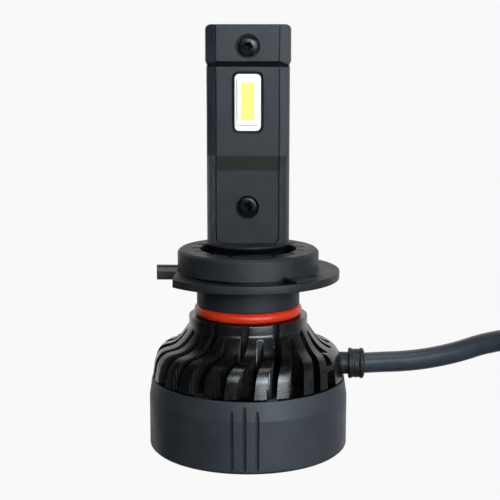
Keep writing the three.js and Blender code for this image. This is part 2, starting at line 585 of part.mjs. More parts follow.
place('driver_chip', driverChip(), 'mattBlack');
place('driver_diode', driverDiode(), 'mattBlack');
place('supply_wire_positive', supplyWire(0.6), 'redWire');
place('supply_wire_negative', supplyWire(-0.6), 'blackWire');
place('strain_relief', strainRelief(), 'mattBlack');
place('lead_cable', leadCable(), 'cord');
place('lead_coil', leadCoil(), 'cord');
place('lead_tail', leadTail(), 'cord');
place('cable_tie', cableTie(), 'mattBlack');
place('plug_housing', plugHousing(), 'mattBlack');
place('plug_blade_left', plugBlade(-1), 'brass');
place('plug_blade_right', plugBlade(1), 'brass');

export default group;
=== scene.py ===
import math

import bmesh
import bpy
from mathutils import Matrix, Vector


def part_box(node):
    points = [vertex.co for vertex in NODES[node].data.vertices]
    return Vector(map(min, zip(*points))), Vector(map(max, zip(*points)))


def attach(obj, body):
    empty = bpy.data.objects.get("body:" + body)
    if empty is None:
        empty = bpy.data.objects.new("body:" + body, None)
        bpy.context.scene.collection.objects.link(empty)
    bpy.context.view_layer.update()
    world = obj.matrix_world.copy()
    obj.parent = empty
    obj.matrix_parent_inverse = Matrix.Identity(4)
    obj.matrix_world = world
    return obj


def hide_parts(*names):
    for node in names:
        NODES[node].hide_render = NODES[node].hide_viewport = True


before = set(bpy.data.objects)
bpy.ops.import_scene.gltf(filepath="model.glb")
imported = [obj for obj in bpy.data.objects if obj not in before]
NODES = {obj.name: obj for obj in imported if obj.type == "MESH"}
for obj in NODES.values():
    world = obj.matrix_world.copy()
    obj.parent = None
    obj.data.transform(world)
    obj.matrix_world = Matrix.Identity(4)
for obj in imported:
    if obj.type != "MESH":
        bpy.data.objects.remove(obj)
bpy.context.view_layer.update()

# The looks of an LED headlight bulb. Shapes are built in millimetres, in the part's own frame
# (+Z up the bulb's axis, front face towards -Y, lead towards +X), and written out in metres.
MM = 0.001


def high(node):
    """Highest corner of a CAD node, in millimetres."""
    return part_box(node)[1] / MM


def polar(r, azimuth):
    """x, y at a radius and an azimuth in degrees, counted from the front towards +X."""
    a = math.radians(azimuth)
    return r * math.sin(a), -r * math.cos(a)


# -------------------------------- mesh tools
def mesh_object(name, bm):
    """A new object from a bmesh, with its faces turned outwards."""
    mesh = bpy.data.meshes.new(name)
    bmesh.ops.recalc_face_normals(bm, faces=bm.faces)
    bm.to_mesh(mesh)
    bm.free()
    obj = bpy.data.objects.new(name, mesh)
    bpy.context.scene.collection.objects.link(obj)
    return obj


def lathe(name, profile, segments=160):
    """A closed solid of revolution about Z from [r, z] points, axis to axis or a closed loop."""
    bm = bmesh.new()
    closed = profile[0][0] > 0
    rings = []
    for r, z in profile:
        if r == 0:
            rings.append([bm.verts.new((0, 0, z))])
            continue
        ring = []
        for i in range(segments):
            x, y = polar(r, 360 * i / segments)
            ring.append(bm.verts.new((x, y, z)))
        rings.append(ring)
    pairs = list(zip(rings, rings[1:]))
    if closed:
        pairs.append((rings[-1], rings[0]))
    for a, b in pairs:
        for i in range(segments):
            j = (i + 1) % segments
            corners = [a[i % len(a)], a[j % len(a)], b[j % len(b)], b[i % len(b)]]
            unique = list(dict.fromkeys(corners))
            if len(unique) > 2:
                bm.faces.new(unique)
    return mesh_object(name, bm)


def rounded(profile, radius, steps=4):
    """The same [r, z] profile with each inner corner turned into an arc of that radius."""
    result = [profile[0]]
    for before, corner, after in zip(profile, profile[1:], profile[2:]):
        p = Vector(corner)
        a = Vector(before) - p
        b = Vector(after) - p
        size = min(radius, 0.45 * a.length, 0.45 * b.length)
        start = p + a.normalized() * size
        end = p + b.normalized() * size
        for i in range(steps + 1):
            t = i / steps
            q = start * (1 - t) ** 2 + p * 2 * t * (1 - t) + end * t ** 2
            result.append((q.x, q.y))
    result.append(profile[-1])
    return result


def loft(name, sections):
    """A closed solid through outlines with the same number of 3-D points."""
    bm = bmesh.new()
    rings = [[bm.verts.new(p) for p in section] for section in sections]
    count = len(rings[0])
    for a, b in zip(rings, rings[1:]):
        for i in range(count):
            j = (i + 1) % count
            bm.faces.new([a[i], a[j], b[j], b[i]])
    bm.faces.new(list(reversed(rings[0])))
    bm.faces.new(rings[-1])
    return mesh_object(name, bm)


def prism_z(name, outline, z0, z1):
    return loft(name, [[(x, y, z) for x, y in outline] for z in (z0, z1)])


def prism_y(name, outline, y0, y1):
    return loft(name, [[(x, y, z) for x, z in outline] for y in (y0, y1)])


def prism_x(name, outline, x0, x1):
    return loft(name, [[(x, y, z) for y, z in outline] for x in (x0, x1)])


def block(name, x, y, z):
    return prism_z(name, [(x[0], y[0]), (x[1], y[0]), (x[1], y[1]), (x[0], y[1])], *z)


def rounded_rectangle(half, bottom, top, corner, steps=8):
    """Outline of a rounded rectangle about x = 0, as [x, z] points."""
    centres = [
        (half - corner, bottom + corner, -90),
        (half - corner, top - corner, 0),
        (-half + corner, top - corner, 90),
        (-half + corner, bottom + corner, 180),
    ]
    outline = []
    for x, z, start in centres:
        for i in range(steps + 1):
            a = math.radians(start + 90 * i / steps)
            outline.append((x + corner * math.cos(a), z + corner * math.sin(a)))
    return outline


def turned(name, profile, axis, place, segments=48):
    """A solid of revolution whose [r, height] profile runs along +X, +Y, -Y or +Z from a place."""
    obj = lathe(name, profile, segments)
    rotation = {
        "+X": Matrix.Rotation(math.radians(90), 4, "Y"),
        "+Y": Matrix.Rotation(math.radians(-90), 4, "X"),
        "-Y": Matrix.Rotation(math.radians(90), 4, "X"),
        "+Z": Matrix.Identity(4),
    }[axis]
    obj.data.transform(Matrix.Translation(place) @ rotation)
    return obj


def rotated(obj, degrees):
    """The same piece, turned about the bulb's axis."""
    obj.data.transform(Matrix.Rotation(math.radians(degrees), 4, "Z"))
    return obj


def apply_modifiers(obj):
    depsgraph = bpy.context.evaluated_depsgraph_get()
    mesh = bpy.data.meshes.new_from_object(obj.evaluated_get(depsgraph))
    obj.modifiers.clear()
    old = obj.data
    obj.data = mesh
    bpy.data.meshes.remove(old)
    return obj


def merged(name, objects):
    """One object holding several separate solids, for use as a cutting tool."""
    bm = bmesh.new()
    for obj in objects:
        bm.from_mesh(obj.data)
        remove(obj)
    return mesh_object(name, bm)


def remove(obj):
    mesh = obj.data
    bpy.data.objects.remove(obj)
    bpy.data.meshes.remove(mesh)


def combine(obj, tool, operation):
    modifier = obj.modifiers.new("combine", "BOOLEAN")
    modifier.operation = operation
    modifier.solver = "EXACT"
    modifier.object = tool
    apply_modifiers(obj)
    remove(tool)
    return obj


def cut(obj, *tools):
    for tool in tools:
        combine(obj, tool, "DIFFERENCE")
    return obj


def join(obj, *others):
    for other in others:
        combine(obj, other, "UNION")
    return obj


def bevel(obj, width, segments=2, angle=20):
    modifier = obj.modifiers.new("bevel", "BEVEL")
    modifier.width = width
    modifier.segments = segments
    modifier.limit_method = "ANGLE"
    modifier.angle_limit = math.radians(angle)
    modifier.use_clamp_overlap = True
    return apply_modifiers(obj)


def finished(obj, body, material, *replaced, smooth_angle=32):
    """Writes a piece out in metres, shades it, and ties it to its body and its CAD nodes."""
    bm = bmesh.new()
    bm.from_mesh(obj.data)
    bmesh.ops.remove_doubles(bm, verts=bm.verts, dist=1e-5)
    bmesh.ops.dissolve_degenerate(bm, edges=bm.edges, dist=1e-5)
    bm.to_mesh(obj.data)
    bm.free()
    obj.data.transform(Matrix.Scale(MM, 4))
    obj.data.shade_smooth()
    obj.data.set_sharp_from_angle(angle=math.radians(smooth_angle))
    obj.data.materials.clear()
    obj.data.materials.append(material)
    normals = obj.modifiers.new("normals", "WEIGHTED_NORMAL")
    normals.keep_sharp = True
    apply_modifiers(obj)
    obj.name = f"{replaced[0]}_look"
    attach(obj, body)
    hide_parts(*replaced)
    return obj


# -------------------------------- materials
def linear(hex_colour):
    """Scene-linear red, green, blue, alpha of an sRGB hex colour."""
    channels = [int(hex_colour[i:i + 2], 16) / 255 for i in (1, 3, 5)]
    return [c / 12.92 if c < 0.04045 else ((c + 0.055) / 1.055) ** 2.4 for c in channels] + [1.0]


def surface(name, dark, light, roughness, metallic=0.0, grain=0.12, bump=0.004, blotch=2.5,
            rough_spread=0.08, specular=0.5, stretch=(1, 1, 1)):
    """A procedural finish: blotched colour, grainy bump and uneven roughness.
    grain and blotch are feature sizes in millimetres, bump is the relief's height."""
    material = bpy.data.materials.new(name)
    material.use_nodes = True
    nodes = material.node_tree.nodes
    links = material.node_tree.links
    shader = nodes["Principled BSDF"]
    shader.inputs["Metallic"].default_value = metallic
    shader.inputs["Specular IOR Level"].default_value = specular
    place = nodes.new("ShaderNodeTexCoord")
    scaled = nodes.new("ShaderNodeMapping")
    scaled.inputs["Scale"].default_value = [s / MM for s in stretch]
    links.new(place.outputs["Object"], scaled.inputs["Vector"])

    def noise(size, detail):
        node = nodes.new("ShaderNodeTexNoise")
        node.inputs["Scale"].default_value = 1 / size
        node.inputs["Detail"].default_value = detail
        node.inputs["Roughness"].default_value = 0.6
        links.new(scaled.outputs["Vector"], node.inputs["Vector"])
        return node.outputs["Fac"]

    broad = noise(blotch, 3)
    fine = noise(grain, 2)
    mixed = nodes.new("ShaderNodeMath")
    mixed.operation = "MULTIPLY_ADD"
    mixed.inputs[1].default_value = 0.35
    links.new(fine, mixed.inputs[0])
    links.new(broad, mixed.inputs[2])
    ramp = nodes.new("ShaderNodeValToRGB")
    ramp.color_ramp.elements[0].position = 0.45
    ramp.color_ramp.elements[0].color = linear(dark)
    ramp.color_ramp.elements[1].position = 0.9
    ramp.color_ramp.elements[1].color = linear(light)
    links.new(mixed.outputs[0], ramp.inputs["Fac"])
    links.new(ramp.outputs["Color"], shader.inputs["Base Color"])
    rough = nodes.new("ShaderNodeMapRange")
    rough.inputs["From Min"].default_value = 0.3
    rough.inputs["From Max"].default_value = 0.7
    rough.inputs["To Min"].default_value = max(0.03, roughness - rough_spread)
    rough.inputs["To Max"].default_value = min(1.0, roughness + rough_spread)
    links.new(broad, rough.inputs["Value"])
    links.new(rough.outputs["Result"], shader.inputs["Roughness"])
    relief = nodes.new("ShaderNodeBump")
    relief.inputs["Strength"].default_value = 1.0
    relief.inputs["Distance"].default_value = bump * MM
    links.new(fine, relief.inputs["Height"])
    links.new(relief.outputs["Normal"], shader.inputs["Normal"])
    return material


def tinted_where(material, tint, above=(None, None, None), below=(None, None, None), reach=None):
    """Multiplies a finish's colour by a tint inside a box of object coordinates, and within a
    distance of the bulb's axis; millimetres, None for no limit."""
    tree = material.node_tree
    nodes, links = tree.nodes, tree.links
    place = nodes.new("ShaderNodeTexCoord").outputs["Object"]
    axes = nodes.new("ShaderNodeSeparateXYZ")
    links.new(place, axes.inputs["Vector"])
    tests = []
    for limits, operation in ((above, "GREATER_THAN"), (below, "LESS_THAN")):
        tests += [(axes.outputs[i], operation, limit) for i, limit in enumerate(limits)
                  if limit is not None]
    if reach is not None:
        flat = nodes.new("ShaderNodeVectorMath")
        flat.operation = "MULTIPLY"
        flat.inputs[1].default_value = (1, 1, 0)
        links.new(place, flat.inputs[0])
        length = nodes.new("ShaderNodeVectorMath")
        length.operation = "LENGTH"
        links.new(flat.outputs["Vector"], length.inputs[0])
        tests.append((length.outputs["Value"], "LESS_THAN", reach))
    inside = None
    for value, operation, limit in tests:
        test = nodes.new("ShaderNodeMath")
        test.operation = operation
        test.inputs[1].default_value = limit * MM
        links.new(value, test.inputs[0])
        if inside is None:
            inside = test.outputs[0]
            continue
        both = nodes.new("ShaderNodeMath")
        both.operation = "MULTIPLY"
        links.new(inside, both.inputs[0])
        links.new(test.outputs[0], both.inputs[1])
        inside = both.outputs[0]
    base = nodes["Principled BSDF"].inputs["Base Color"]
    mix = nodes.new("ShaderNodeMix")
    mix.data_type = "RGBA"
    mix.blend_type = "MULTIPLY"
    links.new(inside, mix.inputs["Factor"])
    links.new(base.links[0].from_socket, mix.inputs["A"])
    mix.inputs["B"].default_value = (*tint, 1)
    links.new(mix.outputs["Result"], base)


anodised = surface("anodised_plate", "#171a1e", "#24272c", 0.48, 0.0, grain=0.11, bump=0.022,
                   blotch=3.0, rough_spread=0.05, specular=0.28)
gloss_black = surface("gloss_black_casting", "#060607", "#0d0e10", 0.29, 0.0, grain=0.3, bump=0.008,
                      blotch=1.6, rough_spread=0.06, specular=0.9)
neck_black = surface("neck_matt_black", "#1e2024", "#25282b", 0.58, 0.0, grain=0.14, bump=0.006,
                     specular=0.35)
collar_black = surface("collar_matt_black", "#202325", "#292c2e", 0.52, 0.1, grain=0.16, bump=0.008,
                       specular=0.4)
shroud_black = surface("shroud_matt_black", "#2f3338", "#373b40", 0.55, 0.0, grain=0.13, bump=0.010,
                       blotch=4.0, specular=0.55)
screw_black = surface("screw_black_oxide", "#08090a", "#131416", 0.26, 0.1, grain=0.1, bump=0.004,
                      blotch=0.8, specular=0.2)
seal_red = surface("seal_red_silicone", "#cf2f16", "#dc3c20", 0.34, 0.0, grain=0.3, bump=0.004,
                   blotch=3.0, specular=0.4)
board_white = surface("board_white_mask", "#e6e0da", "#f1ece6", 0.42, 0.0, grain=0.12, bump=0.003)
package_white = surface("package_white_ceramic", "#ebe6e0", "#f5f1ea", 0.38, 0.0, grain=0.08,
                        bump=0.002, blotch=1.2)
phosphor_yellow = surface("phosphor_yellow", "#f0f062", "#f4f470", 0.5, 0.0, grain=0.06, bump=0.003,
                          blotch=0.9)
copper = surface("copper_plate", "#a0552c", "#c4774a", 0.32, 1.0, grain=0.1, bump=0.003,
                 stretch=(1, 1, 0.08))
spring_steel = surface("spring_steel", "#85888c", "#a9abae", 0.3, 1.0, grain=0.1, bump=0.003,
                       stretch=(1, 1, 0.15))
bronze = surface("bearing_bronze", "#8a6a3c", "#a8854f", 0.45, 1.0, grain=0.07, bump=0.006)
ferrite = surface("magnet_ferrite", "#26262a", "#333338", 0.6, 0.1, grain=0.08, bump=0.010)
rotor_black = surface("rotor_black", "#1b1c1e", "#25272a", 0.45, 0.0, grain=0.12, bump=0.004)
circuit_green = surface("circuit_green", "#0d4524", "#166235", 0.4, 0.0, grain=0.1, bump=0.003)
circuit_black = surface("circuit_black", "#0c0d0f", "#141618", 0.4, 0.0, grain=0.1, bump=0.003)
chip_black = surface("chip_epoxy", "#17181a", "#222427", 0.55, 0.0, grain=0.07, bump=0.006)
cable_black = surface("cable_jacket", "#343941", "#3e444c", 0.38, 0.0, grain=0.12, bump=0.005,
                      blotch=2.0, rough_spread=0.05, specular=0.7)
wire_red = surface("wire_red", "#8e1515", "#a82424", 0.4, 0.0, grain=0.1, bump=0.003)
wire_black = surface("wire_black", "#111214", "#1b1c1f", 0.4, 0.0, grain=0.1, bump=0.003)
tie_black = surface("tie_nylon", "#101113", "#1b1c1f", 0.3, 0.0, grain=0.25, bump=0.006)
plug_black = surface("plug_moulding", "#17181a", "#222427", 0.5, 0.0, grain=0.1, bump=0.008)
blade_tin = surface("blade_tin_plate", "#9a9994", "#bdbbb4", 0.33, 1.0, grain=0.12, bump=0.003,
                    stretch=(1, 0.1, 1))

# Painted shade: colours that darken the collar's recesses, the foot's side, the window's border, the
# screw bores and the cross groove where shade falls, and a painted dark olive reflection on the slope.
# painted shade and dark reflection for the collar's channel, flange top and bore
PAINTED_RECESS_SHADE = (0.06, 0.06, 0.07)
# painted shade on the foot's side inside the collar's bore
PAINTED_FOOT_SHADE = (0.1, 0.1, 0.14)
# painted dark olive reflection on the slope between the two plate levels
PAINTED_SLOPE_REFLECTION = (0.4, 0.39, 0.24)
# painted shade on the window's sloped border
PAINTED_WINDOW_SHADE = (0.2, 0.2, 0.2)
# painted shade inside the screw counterbores
PAINTED_BORE_SHADE = (0.15, 0.15, 0.15)
# painted shade in the cross groove
PAINTED_GROOVE_SHADE = (0.25, 0.25, 0.28)


def paint_collar_shade():
    """Painted shade and dark reflection on the channel and flange top in front of the ring, then
    painted shade in the bore with its slots.
    """
    # painted shade and dark reflection on the channel and the flange top in front of the ring
    tinted_where(collar_black, PAINTED_RECESS_SHADE, above=(None, None, 25.75), below=(None, -3.5, 26.87),
                 reach=13.45)
    # painted shade in the collar's bore and its slots
    tinted_where(collar_black, PAINTED_RECESS_SHADE, below=(None, None, 29.85), reach=8.55)


def paint_stem_shade_and_reflection():
    """Painted shade on the foot's side, a painted dark olive reflection on the slope, and painted
    shade on the window's border, both screw bores and the cross groove.
    """
    # painted shade on the foot's side
    tinted_where(anodised, PAINTED_FOOT_SHADE, below=(None, None, 30.8))
    # painted dark olive reflection on the slope
    tinted_where(anodised, PAINTED_SLOPE_REFLECTION, above=(-4.45, None, 41.9), below=(4.45, None, 43.85))
    # painted shade on the window's border
    tinted_where(anodised, PAINTED_WINDOW_SHADE, above=(-2.34, -1.97, 47.1), below=(2.34, 1.97, 56.1))
    # painted shade inside both screw bores
    for half, face, bottom, top in ((1.8, 1.96, 57.75, 61.35), (1.75, 3.06, 34.75, 38.3)):
        tinted_where(anodised, PAINTED_BORE_SHADE, above=(-half, -face, bottom), below=(half, face, top))
    # painted shade in the cross groove
    tinted_where(anodised, PAINTED_GROOVE_SHADE, above=(None, -1.93, 56.6), below=(None, 1.93, 57.48))


paint_collar_shade()
paint_stem_shade_and_reflection()

# -------------------------------- camera, light and floor
CAMERA_DISTANCE = 0.17443
CAMERA_HEIGHT = 0.05973
CAMERA_AZIMUTH = 2.0
CAMERA_DIP = 9.773
CAMERA_LENS = 85.58
CAMERA_SHIFT = 0.0037
SENSOR = 36.0
WHITE = 0.947                   # what the floor and the tent behind give off
# Smooth steps of the tent's brightness along Y, up, up again and along X: from, to, at from, at to.
TENT_BEHIND = (0.33, 0.8, 0.0, WHITE)
TENT_HEIGHT = (-0.7, 0.1, 0.08, 0.26)
TENT_ROOF = (0.25, 0.6, 1.0, 0.15)
TENT_SIDE = (-0.3, 0.45, 0.12, 1.0)
FLOOR_HALF = 12                 # metres, so that its far edge stays near the horizon
BODY_MIDDLE = (0, 0, 0.03)
STEM_MIDDLE = (0, 0, 0.072)
COOL_WHITE = (0.82, 0.93, 1.0)
PALE_BLUE = (0.84, 0.94, 1.0)
SOFT_BLUE = (0.86, 0.94, 1.0)
WARM_WHITE = (1.0, 0.95, 0.86)


def add_camera():
    camera = bpy.data.objects.new("camera", bpy.data.cameras.new("camera"))
    bpy.context.scene.collection.objects.link(camera)
    camera.data.lens = CAMERA_LENS
    camera.data.sensor_width = SENSOR
    camera.data.shift_x = CAMERA_SHIFT
    camera.data.clip_start = 0.005
    turn = math.radians(CAMERA_AZIMUTH)
    camera.location = (CAMERA_DISTANCE * math.sin(turn), -CAMERA_DISTANCE * math.cos(turn),
                       CAMERA_HEIGHT)
    camera.rotation_euler = (math.radians(90 - CAMERA_DIP), 0, turn)
    bpy.context.scene.camera = camera


def add_light(name, place, aim, size, power, colour, spread=180):
    """A soft box at a place, turned towards a point; sizes in metres, power in watts."""
    data = bpy.data.lights.new(name, "AREA")
    data.shape = "RECTANGLE"
    data.size, data.size_y = size
    data.energy = power
    data.color = colour
    data.spread = math.radians(spread)
    light = bpy.data.objects.new(name, data)
    bpy.context.scene.collection.objects.link(light)
    light.location = place
    direction = Vector(aim) - Vector(place)
    light.rotation_euler = direction.to_track_quat("-Z", "Y").to_euler()


def world_ramp(tree, value, low_in, high_in, low_out, high_out):
    """A smooth step from one value to another, as a node's output."""
    ramp = tree.nodes.new("ShaderNodeMapRange")
    ramp.interpolation_type = "SMOOTHSTEP"
    tree.links.new(value, ramp.inputs["Value"])
    numbers = {"From Min": low_in, "From Max": high_in, "To Min": low_out, "To Max": high_out}
    for socket, number in numbers.items():
        ramp.inputs[socket].default_value = number
    return ramp.outputs["Result"]


def world_math(tree, operation, first, second):
    node = tree.nodes.new("ShaderNodeMath")
    node.operation = operation
    tree.links.new(first, node.inputs[0])
    tree.links.new(second, node.inputs[1])
    return node.outputs[0]


def add_world():
    """A white tent that is open at the front: even white behind the object, dim in front of it,
    dimmest low down, high up and to the left."""
    world = bpy.data.worlds.new("studio")
    bpy.context.scene.world = world
    world.use_nodes = True
    tree = world.node_tree
    direction = tree.nodes.new("ShaderNodeTexCoord").outputs["Generated"]
    axes = tree.nodes.new("ShaderNodeSeparateXYZ")
    tree.links.new(direction, axes.inputs["Vector"])
    behind = world_ramp(tree, axes.outputs["Y"], *TENT_BEHIND)
    height = world_ramp(tree, axes.outputs["Z"], *TENT_HEIGHT)
    roof = world_ramp(tree, axes.outputs["Z"], *TENT_ROOF)
    side = world_ramp(tree, axes.outputs["X"], *TENT_SIDE)
    front = world_math(tree, "MULTIPLY", world_math(tree, "MULTIPLY", height, roof), side)
    background = tree.nodes["Background"]
    background.inputs["Color"].default_value = (1, 1, 1, 1)
    tree.links.new(world_math(tree, "MAXIMUM", behind, front), background.inputs["Strength"])


def add_floor():
    """A floor of evenly glowing white, as bright as the tent behind, so that no horizon shows."""
    bm = bmesh.new()
    corners = [(-FLOOR_HALF, -FLOOR_HALF), (FLOOR_HALF, -FLOOR_HALF), (FLOOR_HALF, FLOOR_HALF),
               (-FLOOR_HALF, FLOOR_HALF)]
    bm.faces.new([bm.verts.new((x, y, 0)) for x, y in corners])
    floor = mesh_object("floor", bm)
    material = bpy.data.materials.new("floor_white")
    material.use_nodes = True
    shader = material.node_tree.nodes["Principled BSDF"]
    shader.inputs["Base Color"].default_value = (0, 0, 0, 1)
    shader.inputs["Roughness"].default_value = 1.0
    shader.inputs["Specular IOR Level"].default_value = 0.0
    shader.inputs["Emission Color"].default_value = (1, 1, 1, 1)
    shader.inputs["Emission Strength"].default_value = WHITE
    floor.data.materials.append(material)
    floor.visible_diffuse = False
    floor.visible_glossy = False


def add_studio():
    add_world()
    add_floor()
    add_light("key_box", (0.2, -0.33, 0.115), BODY_MIDDLE, (0.26, 0.2), 1.4, COOL_WHITE)
    add_light("front_box", (-0.06, -0.36, 0.21), BODY_MIDDLE, (0.12, 0.07), 0.22, PALE_BLUE)
    add_light("stem_box", (0.04, -0.24, 0.11), STEM_MIDDLE, (0.08, 0.05), 0.016, SOFT_BLUE, 30)
    add_light("top_box", (0.02, -0.08, 0.42), BODY_MIDDLE, (0.24, 0.24), 0.4, WARM_WHITE)
    bpy.context.scene.view_settings.view_transform = "Standard"


add_camera()
add_studio()

# -------------------------------- the lead
# Middle of the lead in millimetres, from the gland to the coil and from the coil to
# the plug: the same routes as the CAD tubes, with the short stretches into and out of the coil.
LEAD_ROUTE = [
    (17.0, 0, 12.5), (19.9, -0.35, 12.78), (22.8, -0.85, 13.06), (25.7, -1.3, 13.5),
    (28.7, -1.8, 14.2), (31.6, -2.4, 15.15), (34.6, -3.3, 16.4), (37.8, -4.9, 17.5),
    (41.2, -7.1, 18.1), (44.6, -9.9, 18.0), (47.8, -12.7, 17.2), (51.0, -15.2, 15.8),
    (54.4, -17.3, 14.0), (57.8, -18.5, 12.0), (61.2, -18.95, 10.1), (64.8, -19.0, 8.3),
    (67.6, -19.0, 7.1), (70.4, -19.0, 6.15), (73.2, -19.0, 5.5),
]
TAIL_ROUTE = [
    (78.8, -19, 2.1), (81.6, -19, 2.2), (84.4, -19, 2.55), (87.3, -19, 3.15), (89.4, -19, 3.6),
    (91.6, -19, 4.0), (93.7, -19, 4.1),
]
CORD_R = 1.55
COIL_R = 16.5
COIL_CENTRE = (76.0, -2.5)
COIL_Z = (2.1, 5.3)
COIL_RAMP = (0.15, 0.8)         # turns over which the coil comes down from the upper level
PLUG_START = (93.3, -19.0, 4.1)
BLADE_X = 3.6                   # from the plug's middle to each blade's


def coil_points(per_turn=36):
    """One turn from the frontmost point, from its upper level down to the floor."""
    points = []
    for i in range(per_turn + 1):
        turn = i / per_turn
        t = min(1, max(0, (turn - COIL_RAMP[0]) / (COIL_RAMP[1] - COIL_RAMP[0])))
        drop = t * t * (3 - 2 * t)
        x, y = polar(COIL_R, 360 * turn)
        z = COIL_Z[1] - (COIL_Z[1] - COIL_Z[0]) * drop
        points.append((COIL_CENTRE[0] + x, COIL_CENTRE[1] + y, z))
    return points


def smooth_route(points, steps=4):
    """Catmull-Rom points through a route, evenly stepped in each span."""
    vectors = [Vector(p) for p in points]
    ends = [vectors[0] * 2 - vectors[1]] + vectors + [vectors[-1] * 2 - vectors[-2]]
    result = []
    for a, b, c, d in zip(ends, ends[1:], ends[2:], ends[3:]):
        for i in range(steps):
            t = i / steps
            result.append(0.5 * (2 * b + (c - a) * t + (2 * a - 5 * b + 4 * c - d) * t ** 2
                                 + (3 * b - a - 3 * c + d) * t ** 3))
    result.append(vectors[-1])
    return result


def add_lead():
    route = smooth_route(LEAD_ROUTE + coil_points() + TAIL_ROUTE)
    curve = bpy.data.curves.new("lead", "CURVE")
    curve.dimensions = "3D"
    curve.bevel_depth = CORD_R * MM
    curve.bevel_resolution = 7
    curve.use_fill_caps = True
    spline = curve.splines.new("POLY")
    spline.points.add(len(route) - 1)
    for point, place in zip(spline.points, route):
        point.co = (*(place * MM), 1)
    lead = bpy.data.objects.new("lead_cord", curve)
    bpy.context.scene.collection.objects.link(lead)
    curve.materials.append(cable_black)
    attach(lead, "base")
    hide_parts("lead_cable", "lead_coil", "lead_tail")
    return lead


lead = add_lead()

# -------------------------------- stem
STEM_R = 6.07
STEM_HALF = (3.1, 2.0)          # half thickness below and above the slope
SLOPE_Z = (41.85, 43.9)
STEM_TOP = high("stem_frame").z
FOOT_Z = 31.1
GROOVE_Z = (56.66, 57.51)
GROOVE_DEPTH = 0.45
COVER_HALF = 4.48
COVER_BOTTOM = 31.27
SCREW_Z = {"upper": 59.56, "lower": 36.52}
BORE = {"upper": (1.7, -1.2), "lower": (1.62, -1.8)}     # radius, and y of the floor
BOSS_REACH = {"upper": 1.5, "lower": 2.6}
LED_Z = 51.83
LED_CHIPS = 5


def stem_side(inset, z0, z1):
    """The stem's outline from the side, [y, z], inset from its faces."""
    lower, upper = STEM_HALF[0] - inset, STEM_HALF[1] - inset
    front = [(-lower, z0), (-lower, SLOPE_Z[0]), (-upper, SLOPE_Z[1]), (-upper, z1)]
    return front + [(-y, z) for y, z in reversed(front)]


def face_groove(side):
    """The cross groove: level below, with its upper wall leaning in towards the bottom."""
    face, floor = STEM_HALF[1], STEM_HALF[1] - GROOVE_DEPTH
    outline = [(face + 1, GROOVE_Z[0]), (floor - 0.1, GROOVE_Z[0]), (floor, GROOVE_Z[0] + 0.25),
               (face, GROOVE_Z[1]), (face + 1, GROOVE_Z[1])]
    return prism_x("groove", [(side * y, z) for y, z in outline], -7, 7)


def stem_frame():
    notch = STEM_R - 0.06
    block_r = STEM_R + 0.16
    barrel = lathe("stem_frame", [(0, FOOT_Z - 0.3), (STEM_R, FOOT_Z - 0.3), (STEM_R, GROOVE_Z[0]),
                   (notch, GROOVE_Z[0]), (notch, GROOVE_Z[0] + 0.3), (block_r, GROOVE_Z[1]),
                   (block_r, STEM_TOP - 0.6), (block_r - 0.2, STEM_TOP - 0.2),
                   (block_r - 0.6, STEM_TOP), (0, STEM_TOP)])
    slab = prism_x("slab", stem_side(0, 30, STEM_TOP + 1), -8, 8)
    combine(barrel, slab, "INTERSECT")
    foot = lathe("foot", rounded([(0, 27.3), (5.2, 27.3), (5.2, FOOT_Z - 1.2), (6.05, FOOT_Z - 0.55),
                 (6.25, FOOT_Z - 0.25), (6.25, FOOT_Z), (0, FOOT_Z)], 0.12))
    spigot = lathe("spigot", [(0, 22), (4.6, 22), (4.8, 22.2), (4.8, 27.4), (0, 27.4)], 96)
    join(barrel, foot, spigot)
    window = rounded_rectangle(4.64, 31.16, STEM_TOP + 3, 0.98)
    between = rounded_rectangle(4.1, 31.2, STEM_TOP + 3, 0.45)
    passage = block("passage", (-3.6, 3.6), (-2.3, 2.3), (21, 33))
    cut(barrel, prism_y("front", window, -8, -0.85), prism_y("rear", window, 0.85, 8),
        prism_y("between", between, -2, 2), passage, face_groove(-1), face_groove(1))
    for x_side in (-1, 1):
        for y_side in (-1, 1):
            outline = [(4.66, 2.01), (7.5, 2.01), (7.5, 1.05)]
            cut(barrel, prism_z("chamfer", [(x_side * x, y_side * y) for x, y in outline], 43.95, 65))
    bridge = block("bridge", (-4.8, 4.8), (-1.05, 1.05), (61.85, STEM_TOP))
    join(barrel, bridge)
    return bevel(barrel, 0.09)


